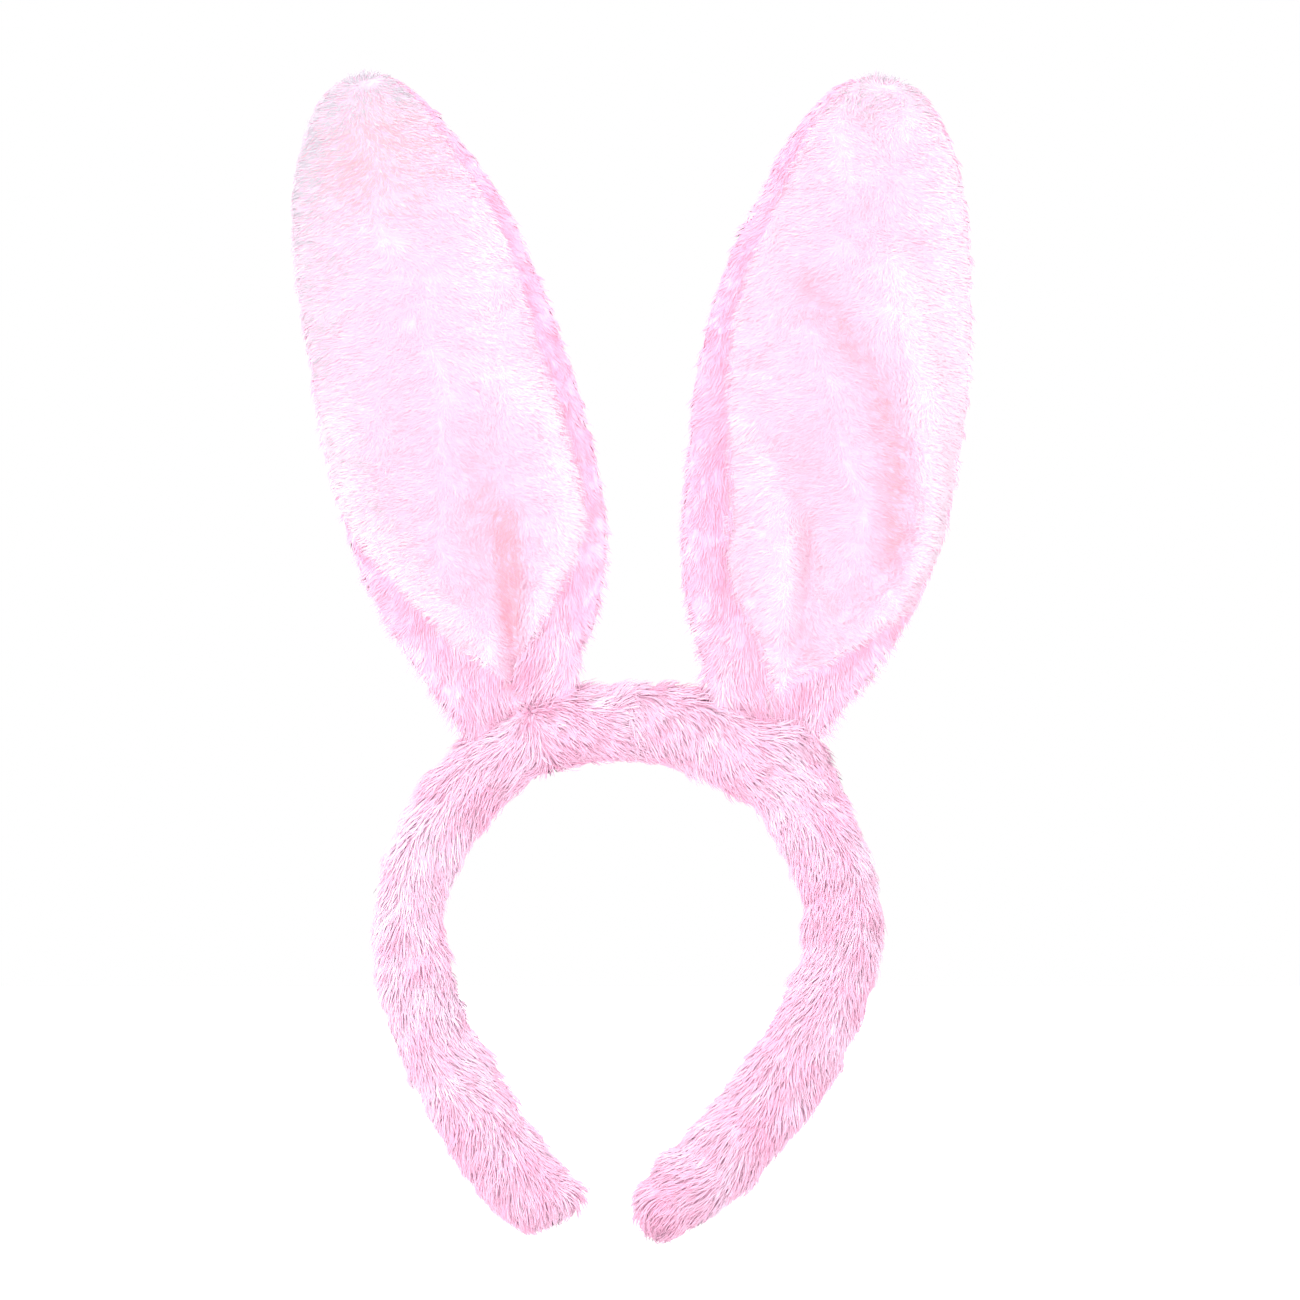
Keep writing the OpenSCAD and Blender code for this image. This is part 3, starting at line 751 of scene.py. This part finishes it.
class Ear:
    def __init__(self, side):
        data = EARS[side]
        self.side, self.data = side, data
        self.rows = len(data["low"])
        self.outline = np.array(data["low"] + [data["tip"]] + data["high"][::-1], float)
        q = np.linspace(0, 1, EAR_ROWS)
        # Rows crowd together near the tip, where the outline turns.
        self.t = self.rows * mix(q, np.sin(q * math.pi / 2), 0.75)
        self.t[-1] = self.rows - 0.012

    def row_ends(self, t, inset=0.0):
        low = along(self.outline, t)
        high = along(self.outline, 2 * self.rows - t)
        across = unit(high - low)
        half = np.linalg.norm(high - low, axis=-1, keepdims=True) / 2
        inset = np.minimum(inset, half * 0.6)
        return low + across * inset, high - across * inset

    def half_width(self, t):
        return np.linalg.norm(np.subtract(*self.row_ends(t)), axis=-1) / 2

    def flat(self, t, u, inset=0.0):
        low, high = self.row_ends(t, inset)
        flat = mix(low, high, (u[..., None] + 1) / 2)
        flat[..., 1] -= 1.2 * inset * ramp(t, self.rows - 1.3, self.rows)
        return flat

    def height(self, t):
        return t / self.rows

    def middle_y(self, t, u):
        v = self.height(t)
        curl = EAR_CURL * (0.75 + 0.25 * bump((v - 0.25) / 0.2)) * (1 - 0.85 * v**1.6)
        return BASE_BACK + EAR_LEAN * v**2 - curl * u**2

    def thick(self, t, u):
        v = self.height(t)
        full = HALF_THICK * (0.80 + 0.3 * bump((v - 0.3) / 0.35) - 0.15 * v * v)
        most = self.half_width(t) * 0.55
        return np.minimum(full, most) * np.sqrt(np.clip(1 - np.abs(u) ** 2.6, 0, 1))

    def relief(self, flat, u):
        total = np.zeros(flat.shape[:-1])
        for path, height, breadth in self.data["folds"]:
            total += height * bump(distance_to(flat, path) / breadth)
        return total * ramp(1 - np.abs(u), 0.0, 0.12)

    def surface(self, t, u, back):
        """Points of the front or the back cloth, at rows t and shares u across."""
        flat = self.flat(t, u, EDGE_INSET)
        y = self.middle_y(t, u)
        thick = self.thick(t, u)
        fade = np.minimum(thick / 3, 1)
        lumps = EAR_LUMPS * ripple(with_depth(flat, y * 0), 26, 77) * fade
        if back:
            y = y + thick * 0.92 + lumps
        else:
            # A valley stops short of the back, softly.
            least = 0.3 * thick
            more = thick + self.relief(flat, u) * fade - least
            y = y - (least + 0.5 * (more + np.sqrt(more**2 + 1.2 * least + 0.01))) - lumps
        return with_depth(flat, y)

    def grid(self, shares, back):
        """Rows of points over the ear. shares gives the places across, for every row."""
        return self.surface(self.t[:, None] * np.ones((1, shares.shape[1])), shares, back)


FOLD_REACH = 24  # above and below the fold


def blend_fold(obj, side):
    """Bakes a piece's transform into its mesh. It is not bent across the ear's fold."""
    joint = next(j for j in frame["joints"] if j["name"] == side + "_ear_fold")
    pivot, axis = np.array(joint["pos_m"]), np.array(joint["axis"])
    up = unit(np.cross(axis, FRONT))
    if up[2] < 0:
        up = -up
    start, end = pivot - up * FOLD_REACH * MM, pivot + up * FOLD_REACH * MM
    tuple(start)
    tuple(end)
    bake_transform(obj)


def stand_in_on_ear(obj, side, node, slot):
    """A piece that replaces both halves of an ear's CAD node."""
    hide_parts(f"{side}_ear_{node}_lower", f"{side}_ear_{node}_tip")
    blend_fold(obj, side)


def add_panel(side, face, points, towards, material):
    """One padded panel, whose normals face towards (1 is the back). Gives what scatter takes."""
    rows, columns = points.shape[:2]
    faces = grid_faces(rows, columns)
    points = points.reshape(-1, 3)
    normals = grid_normals(points, faces)
    if normals[columns // 2:: columns, 1].mean() * towards < 0:
        faces, normals = faces[:, ::-1], -normals
    obj = add_mesh(f"{side}_ear_{face}_cloth", points, faces, [material])
    stand_in_on_ear(obj, side, face, EAR_STRANDS[face][0])
    return points, normals, faces


def add_ear(side, materials, piles, seed):
    rng = np.random.default_rng(seed)
    ear = Ear(side)
    # The white panel reaches from share a to share b.
    a = along(ear.data["from"], ear.t)[:, None]
    b = along(ear.data["to"], ear.t)[:, None]
    panel = ear.grid(mix(a, b, np.linspace(0, 1, PANEL_COLUMNS)[None]), back=False)
    rim = np.sin(np.linspace(0, 1, RIM_COLUMNS) * math.pi / 2)[None]
    left_rim = ear.grid(mix(a, -1 + 0 * a, rim), back=False)
    right_rim = ear.grid(mix(b, 1 + 0 * b, rim), back=False)
    rear = ear.grid(-np.cos(np.linspace(0, math.pi, BACK_COLUMNS))[None] + 0 * a, back=True)
    # The back panel runs from one seam, round the edge, over the back and round to the other.
    back = np.concatenate([left_rim, rear[:, 1:-1], right_rim[:, ::-1]], 1)
    panel, back = settle_ear(panel, back)
    white = add_panel(side, "front", panel, -1, materials["white"])
    pink = add_panel(side, "back", back, 1, materials["pink"])
    add_white_pile(ear, white, piles["white"], rng)
    add_pink_pile(ear, pink, piles["pink"], rng)
    return ear


def settle_ear(panel, back):
    """Settles an ear's two panels as one closed bag, held at its foot, its tip and its seams."""
    rows, columns = panel.shape[:2]
    wide = back.shape[1]
    points = np.concatenate([panel.reshape(-1, 3), back.reshape(-1, 3)])
    k = np.arange(rows)[:, None]
    front_index = k * columns + np.arange(columns)
    back_index = rows * columns + k * wide + np.arange(wide)
    # Along the seams both panels use the front's points.
    back_index[:, 0], back_index[:, -1] = front_index[:, 0], front_index[:, -1]

    def quads(index):
        return index.ravel()[grid_faces(*index.shape)]

    used = np.unique(np.concatenate([front_index.ravel(), back_index.ravel()]))
    renumber = np.zeros(len(points), int)
    renumber[used] = np.arange(len(used))
    faces = renumber[np.concatenate([quads(front_index), quads(back_index)[:, ::-1]])]
    sewn = np.zeros(len(points), bool)
    sewn[front_index[[0, 1, -2, -1]]] = True
    sewn[back_index[[0, 1, -2, -1]]] = True
    sewn[front_index[:, [0, -1]]] = True
    # The wire in the edge holds the outline.
    sewn[back_index[:, [RIM_COLUMNS - 1, -RIM_COLUMNS]]] = True
    normals = grid_normals(points[used], faces)
    if normals[renumber[front_index[rows // 2, columns // 2]], 1] > 0:
        faces = faces[:, ::-1]
    points[used] = settle(points[used], faces, sewn[used], pressure=0.5, cap=1.5)
    return points[front_index], points[back_index]


def from_centreline(points):
    """How far points are from the crown's centreline."""
    r = np.hypot(points[:, 0], points[:, 2] + OPENING_R)
    return np.hypot(r - CROWN_R, points[:, 1])


def clear_of_band(roots, comb, length, rise, t):
    """Shortens the strands that would reach into the sleeve, and leaves out those rooted in it."""
    def reach(length):
        return from_centreline(roots + unit(comb) * length[:, None])
    share = np.where(reach(length) < SLEEVE_CLEARANCE, 0.35, 1.0)
    length, rise = length * share, rise * share
    clear = (from_centreline(roots) > SLEEVE_CLEARANCE) & (reach(length) > 9.8)
    return length, rise, np.where(clear, t, LEFT_OUT)


def add_strands(ear, face, roots, normal, comb, length, rise, t, shade, clump_of, pile, rng):
    """An ear panel's strands, in pieces from the foot up."""
    slot, width, gather = EAR_STRANDS[face]
    length, rise, t = clear_of_band(roots, comb, length, rise, t)
    for i, (_, _, keep) in enumerate(parts(t, ear.rows, EAR_PARTS)):
        obj = add_pile(f"{ear.side}_ear_{face}_pile_{i + 1}", roots[keep], normal[keep],
                       comb[keep], length[keep], rise[keep], width, shade[keep], pile, 2, rng,
                       gather, local_clumps(clump_of, keep))
        blend_fold(obj, ear.side)


def edge_shades(ear, shade, roots, rng):
    """Gives some of the white strands the warm shade, or the cool grey painted shade, near the tip
    and the edge.
    """
    flat = roots[:, [0, 2]]
    if ear.data["warm"]:
        shade = np.where(rng.random(len(flat)) < 0.75 * spot(flat, ear.data["warm"]), WARM, shade)
    # A share of the strands near the path take the cool grey painted shade, darker at the edge and
    # the tip.
    path, breadth, (top, bottom) = ear.data["cool_painted_shade"]
    upness = ramp(flat[:, 1], path[-1][1], path[0][1]) if len(path) > 3 else 1.0
    chance = mix(bottom, top, upness) * bump(distance_to(flat, path) / breadth)
    return np.where(rng.random(len(flat)) < chance, COOL_PAINTED_SHADE, shade)


def add_white_pile(ear, panel, pile, rng):
    """The white panel's pile, which lies outwards from a soft middle line, and a little down."""
    points, normals, faces = panel
    # The narrow rows at the tip face the front, where their own normals are poor.
    narrow = ramp(np.repeat(ear.t, PANEL_COLUMNS), ear.rows - 0.8, ear.rows - 0.1)[:, None]
    normals = unit(mix(normals, FRONT, 0.8 * narrow))
    at, roots, normal = scatter(points, normals, faces, WHITE_DENSITY, rng)
    t = at(np.repeat(ear.t, PANEL_COLUMNS))
    share = at(np.tile(np.linspace(-1, 1, PANEL_COLUMNS), len(ear.t)))
    low, high = ear.row_ends(t)
    flat = roots[:, [0, 2]]
    rim = np.minimum(np.linalg.norm(flat - low, axis=1), np.linalg.norm(flat - high, axis=1))
    inside = ramp(rim, 1.0, 5.0)
    flow = share * 2.0 + 0.6 * ripple(roots, 30, 3) + rng.normal(0, 0.3, len(share))
    flow = (mix(0.35, 1.0, inside) * np.clip(flow, -1, 1))[:, None]
    drop = (0.42 + 0.3 * ramp(-t, -4, 0))[:, None]
    comb = RIGHT * flow + DOWN * drop + rng.normal(0, 0.2, roots.shape)
    comb = comb + 0.18 * DOWN * np.clip(ripple(roots, 19, 4), -1, 1)[:, None]
    # At the tip it spreads up and out to the outline, from a point some way below the tip.
    spread_from = np.array([ear.data["tip"][0], 0, ear.data["tip"][1] - 9])
    spread = unit((roots - spread_from) * [1, 0, 1])
    comb = mix(unit(comb), spread, ramp(t, ear.rows - 1.7, ear.rows - 0.7)[:, None])
    clump_of = clump(roots, WHITE_CLUMPS, rng)
    # Blush patches: painted shade in the valleys, painted highlight on the raised edges, and a
    # rosier middle.
    blush_and_painted_light = sum(strength * spot(flat, place) for *place, strength in ear.data["blush_and_painted_light"])
    # The tone follows the relief: paler on the ridges and deeper in the valleys, which is painted
    # highlight and painted shade.
    relief = ear.relief(flat, np.zeros(len(roots)))
    tone = (0.70 - 0.24 * blush_and_painted_light + np.clip(0.085 * relief, -0.5, 0.25) + 0.03 * ripple(roots, 5, 41)
            + 0.04 * ripple(roots, 22, 42) + rng.normal(0, 0.05, len(roots))[clump_of])
    shade = edge_shades(ear, shades(tone, rng, 0.05), roots, rng)
    length = rng.uniform(2.5, 3.8, len(roots)) * (1 + 0.25 * ramp(np.abs(share), 0.8, 1.0))
    length = length * mix(0.6, 1.0, inside)
    rise = WHITE_RISE * rng.uniform(0.5, 1.1, len(roots)) * (1 + 0.2 * ripple(roots, 6, 43))
    add_strands(ear, "front", roots, normal, comb, length, rise, t, shade, clump_of, pile, rng)


def add_pink_pile(ear, panel, pile, rng):
    """The pink panel's pile, which lies down the back, and outwards over the rolled rims."""
    # How near each column is to a seam: 1 on it, and 0 from the outline on.
    near = np.linspace(1, 0, RIM_COLUMNS)
    near_seam = np.concatenate([near, np.zeros(BACK_COLUMNS - 2), near[::-1]])
    at, roots, normal = scatter(*panel, PINK_DENSITY, rng)
    t = at(np.repeat(ear.t, len(near_seam)))
    low, high = ear.row_ends(t)
    across = unit(high - low)
    middle = (low + high) / 2
    share = (((roots[:, [0, 2]] - middle) * across).sum(1) / ear.half_width(t))[:, None]
    edge = ramp(np.abs(share), 0.6, 1.0)
    rolled = edge * ramp(-normal[:, 1:2], -0.1, 0.4)
    # Behind the edge it follows the outline, so that it doesn't stick out past it.
    behind = edge - rolled
    lower, upper = ear.row_ends(t - 0.3)
    run = unit(np.where(share < 0, lower - low, upper - high))
    lay = unit(mix(DOWN, with_depth(run, 0 * t), behind))
    comb = lay * (1.0 - 0.35 * rolled) + RIGHT * np.sign(share) * (0.75 * rolled - 0.3 * behind)
    comb = comb + ((1 - behind) * (0.3 * RIGHT * ripple(roots, 30, 8)[:, None])
                   + (1 - 0.6 * behind) * rng.normal(0, 0.2, roots.shape))
    clump_of = clump(roots, PINK_CLUMPS, rng)
    seam = at(np.tile(near_seam, len(ear.t)))
    # Near the seams the pink is deeper: painted shade where the rim meets the white panel.
    tone = (mix(0.31, 0.66, 1 - ramp(t, 1.5, 4.5)) - 0.3 * ramp(seam, 0.5, 1)
            + 0.10 * ripple(roots, 7, 51) + 0.06 * ripple(roots, 30, 52)
            + rng.normal(0, 0.09, len(roots))[clump_of])
    shade = shades(tone, rng, 0.07)
    foot = ramp(-t, -1.3, -0.1)
    length = rng.uniform(3.4, 5.4, len(roots)) * (1 + 0.25 * ramp(-t, -2.5, -0.5) + 0.75 * foot)
    length = length * (1 - 0.4 * behind[:, 0])
    rise = PINK_RISE * rng.uniform(0.4, 1.1, len(roots))
    rise = rise * (1 - 0.6 * edge[:, 0]) * (1 + 0.5 * foot)
    tip = ramp(t, ear.rows - 1.2, ear.rows - 0.2)
    length, rise = length * (1 - 0.6 * tip), rise * (1 - 0.7 * tip)
    t = np.where(t < ear.rows - 0.2, t, LEFT_OUT)
    add_strands(ear, "back", roots, normal, comb, length, rise, t, shade, clump_of, pile, rng)


# ---------- what lies inside, and the sewing ----------
WIRE_INSET = 5.6  # from the ear's outline
WIRE_R = 0.75
FELT_INSET = 7.6
FELT_HALF_THICK = 0.8
THREAD_R = 0.35
STITCH_STEP = 3.0  # down the sleeve
EDGE_STITCH_STEP = 3.2  # down an ear's seams
EDGE_STITCH_LENGTH = 2.0


def thread(name, paths, radius, material, sides=6):
    """Closed round threads, one along each path of points."""
    points, faces = [], []
    for path in paths:
        path = np.asarray(path, float)
        run = unit(np.gradient(path, axis=0))
        side = unit(np.cross(run, np.array([0.31, 0.86, 0.4])))
        other = np.cross(side, run)
        a = (np.arange(sides) * 2 * math.pi / sides)[None, :, None]
        taper = np.ones(len(path))
        taper[[0, -1]] = 0.05
        ring = (path[:, None] + radius * taper[:, None, None]
                * (np.cos(a) * side[:, None] + np.sin(a) * other[:, None]))
        base = sum(len(p) for p in points)
        points.append(ring.reshape(-1, 3))
        faces.append(grid_faces(len(path), sides, around=True) + base)
    return add_mesh(name, np.concatenate(points), np.concatenate(faces), [material])


def sew_on(obj, node, body):
    """A piece of thread that replaces a CAD node and rides on one body."""
    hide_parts(node)
    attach(obj, body)


def add_tube_inside(side, wadding, yarn):
    """The wadding roll and the seam that runs down the sleeve's inner side."""
    line = Line(side)
    s = np.linspace(0, line.length, 110)
    q = np.sin(np.linspace(0, 1, 9)[1:] * math.pi / 2)
    s_all = np.concatenate([s, np.full(len(q), line.length)])
    forward = np.concatenate([np.zeros(len(s)), q])
    centre, out, onward = line.at(s_all)
    phi = np.linspace(0, 2 * math.pi, 32, endpoint=False)
    ring = np.cos(phi)[None, :, None] * out[:, None] + np.sin(phi)[None, :, None] * FRONT
    r = (WADDING_R * np.sqrt(np.clip(1 - forward**2, 0.0004, 1)))[:, None, None]
    points = centre[:, None] + ring * r + onward[:, None] * (WADDING_R * forward)[:, None, None]
    points -= ring * (0.25 + 0.25 * ripple(points, 6, 61))[..., None]
    roll = add_mesh(side + "_wadding_roll", points.reshape(-1, 3),
                    grid_faces(len(s_all), len(phi), around=True), [wadding])
    stand_in_on_band(roll, side, "wadding")

    # Whip stitches over the closed edge, on the opening's side of the sleeve.
    paths = []
    lean = np.array([-0.16, 0.0, 0.16])[:, None]
    height = np.array([-0.5, 0.35, -0.5])[:, None]
    for at in np.arange(1.5, line.length - 3, STITCH_STEP):
        centre, out, _ = line.at(np.array([at - 1.1, at, at + 1.1]))
        r = line.breadth(np.array([at]))[0] - PILE_RISE
        stitch = centre - out * (r * np.cos(lean) + height) + FRONT * r * np.sin(lean)
        paths.append(along(stitch, np.linspace(0, 2, 7)))
    seam = thread(side + "_sleeve_seam", paths, THREAD_R, yarn)
    stand_in_on_band(seam, side, "sleeve_seam")


def add_end_knot(side, yarn):
    """The knot that closes the sleeve's gathered end: two turns of thread and its tails."""
    line = Line(side)
    centre, out, onward = (v[0] for v in line.at(np.array([line.length])))
    turn = np.linspace(0, 4 * math.pi, 40)
    tip = centre + onward * (END_REACH - PILE_RISE) - out * END_SLANT[side]
    coil = (tip + 1.1 * (np.cos(turn)[:, None] * out + np.sin(turn)[:, None] * FRONT)
            + onward * (0.15 + 0.5 * turn / turn[-1])[:, None])
    tails = [along([tip, tip + onward * 0.9 + out * k,
                    tip + onward * 1.3 + out * 2.6 * k - FRONT * k],
                   np.linspace(0, 2, 8)) for k in (1.0, -0.8)]
    knot = thread(side + "_end_knot", [coil] + tails, 0.4, yarn)
    sew_on(knot, "end_knot_" + side, side + "_arm")


def wire_loop(ear):
    """The wire's path inside the ear's edge: up one side, over the top and down the other."""
    t = np.linspace(0.6, ear.rows - 2.4, 14)
    u = 1 - WIRE_INSET / ear.half_width(t)
    t = np.concatenate([t, ear.rows - np.array([1.9, 1.55, 1.9]), t[::-1]])
    u = np.concatenate([-u, [-0.4, 0.0, 0.4], u[::-1]])
    path = with_depth(ear.flat(t, u), ear.middle_y(t, u))
    return along(path, np.linspace(0, len(path) - 1, 160))


def add_wire(ear, steel):
    loop = thread(ear.side + "_ear_wire_loop", [wire_loop(ear)], WIRE_R, steel, sides=8)
    stand_in_on_ear(loop, ear.side, "wire", "wire")


def add_felt(ear, felt):
    """The felt between an ear's panels, as one closed sheet."""
    t = np.linspace(0.65, ear.rows - 1.1, 60)
    u = np.linspace(-1, 1, 22)[None] * (1 - FELT_INSET / ear.half_width(t))[:, None]
    rows = t[:, None] + 0 * u
    sheet = with_depth(ear.flat(rows, u), ear.middle_y(rows, u))
    thick = FRONT * FELT_HALF_THICK
    sheet = np.concatenate([sheet + thick, (sheet - thick)[:, ::-1]], 1)
    sheet[[0, -1], :, 1] = mix(sheet[[0, -1], :, 1], sheet[[0, -1], ::-1, 1], 0.49)
    lining = add_mesh(ear.side + "_ear_felt", sheet.reshape(-1, 3),
                      grid_faces(len(t), sheet.shape[1], around=True), [felt])
    stand_in_on_ear(lining, ear.side, "interlining", "interlining")


def add_ear_seam(ear, yarn):
    """Running stitches down both edges of the white panel."""
    paths = []
    for edge in ("from", "to"):
        rows = np.linspace(0.9, ear.rows - 0.5, 400)
        line = ear.surface(rows, along(ear.data[edge], rows), back=False)
        run = run_along(line)
        for at in np.arange(1.0, run[-1] - 2, EDGE_STITCH_STEP):
            stops = np.linspace(at, at + EDGE_STITCH_LENGTH, 6)
            stitch = np.stack([np.interp(stops, run, line[:, i]) for i in range(3)], -1)
            stitch += FRONT * (0.3 * np.sin(np.linspace(0, math.pi, 6)) - 0.05)[:, None]
            paths.append(stitch)
    seam = thread(ear.side + "_ear_seam", paths, 0.28, yarn)
    stand_in_on_ear(seam, ear.side, "seam", "thread")


def add_foot_stitches(ear, yarn):
    """Stitches from the ear's foot down into the sleeve, before and behind."""
    side = ear.side
    paths = []
    for back in (False, True):
        away = -FRONT if back else FRONT
        for u in np.linspace(-0.8, 0.8, 8):
            p = ear.surface(np.array([0.28]), np.array([u]), back)[0]
            paths.append(along([p - DOWN - 0.3 * away, p + 1.2 * DOWN + 0.4 * away,
                                p + 3.4 * DOWN - 0.5 * away], np.linspace(0, 2, 7)))
    stitches = thread(side + "_ear_base_stitches_sewn", paths, THREAD_R, yarn)
    sew_on(stitches, side + "_ear_base_stitches", side + "_ear")


def add_pinch_bar(ear, yarn):
    """The bar of thread at the foot of the pinch."""
    side = ear.side
    middle = 0.0 if side == "left" else 0.03
    p = ear.surface(np.array([0.98]), np.array([middle]), back=False)[0]
    x = np.linspace(-2.2, 2.2, 8)
    y = p[1] - 0.5 * np.cos(x * 0.7) - 0.1
    paths = [np.stack([p[0] + x, y, p[2] + d + 0.1 * x], -1) for d in (-0.5, 0.1, 0.6)]
    tack = thread(side + "_ear_pinch_bar", paths, THREAD_R, yarn)
    sew_on(tack, side + "_ear_pinch_tack", side + "_ear")


def dress_cad():
    """A better material on the CAD pieces that stay, which are the plastic band's."""
    plastic = textured_material("moulded_white_plastic", [
        (0.3, (0.86, 0.86, 0.86)), (0.7, (0.91, 0.91, 0.91))], scale=900, roughness=0.4, detail=2)
    for obj in bpy.data.objects:
        if obj.name.startswith("core_"):
            for place in obj.material_slots:
                place.material = plastic


# ---------- build ----------
def main():
    add_camera()
    cloths = {
        "pink": textured_material("pink_backing_cloth", [
            (0.25, (0.93, 0.42, 0.62)), (0.5, (0.98, 0.55, 0.75)), (0.75, (1.0, 0.68, 0.86))],
            scale=420, height=0.0006, stretch=(1, 1, 0.3)),
        "white": textured_material("white_backing_cloth", [
            (0.25, (0.97, 0.54, 0.72)), (0.5, (0.98, 0.60, 0.78)), (0.75, (0.99, 0.66, 0.83))],
            scale=520, height=0.0004, stretch=(0.3, 1, 1)),
    }
    piles = {pile: pile_materials(pile) for pile in PILES}
    for side, seed in (("left", 101), ("right", 202)):
        add_band_side(side, cloths["pink"], piles["pink"], seed)
    wadding = textured_material("polyester_wadding", [
        (0.3, (0.88, 0.88, 0.87)), (0.6, (0.95, 0.95, 0.94))], scale=300, height=0.001)
    felt = textured_material("interlining_felt", [
        (0.3, (0.86, 0.85, 0.84)), (0.7, (0.93, 0.92, 0.91))], scale=900, height=0.0004)
    yarn = textured_material("pink_yarn", [
        (0.3, (0.98, 0.52, 0.74)), (0.7, (1.0, 0.66, 0.85))], scale=1500, height=0.0003)
    steel = textured_material("drawn_wire", [
        (0.3, (0.5, 0.5, 0.51)), (0.7, (0.68, 0.68, 0.69))], scale=700, roughness=0.35,
        detail=3, stretch=(1, 1, 0.1), metallic=1.0)
    for side, seed in (("left", 303), ("right", 404)):
        ear = add_ear(side, cloths, piles, seed)
        add_wire(ear, steel)
        add_felt(ear, felt)
        add_ear_seam(ear, yarn)
        add_foot_stitches(ear, yarn)
        add_pinch_bar(ear, yarn)
        add_tube_inside(side, wadding, yarn)
        add_end_knot(side, yarn)
    dress_cad()
    add_studio(cad_box[0][2] / MM - FLOOR_GAP)


main()
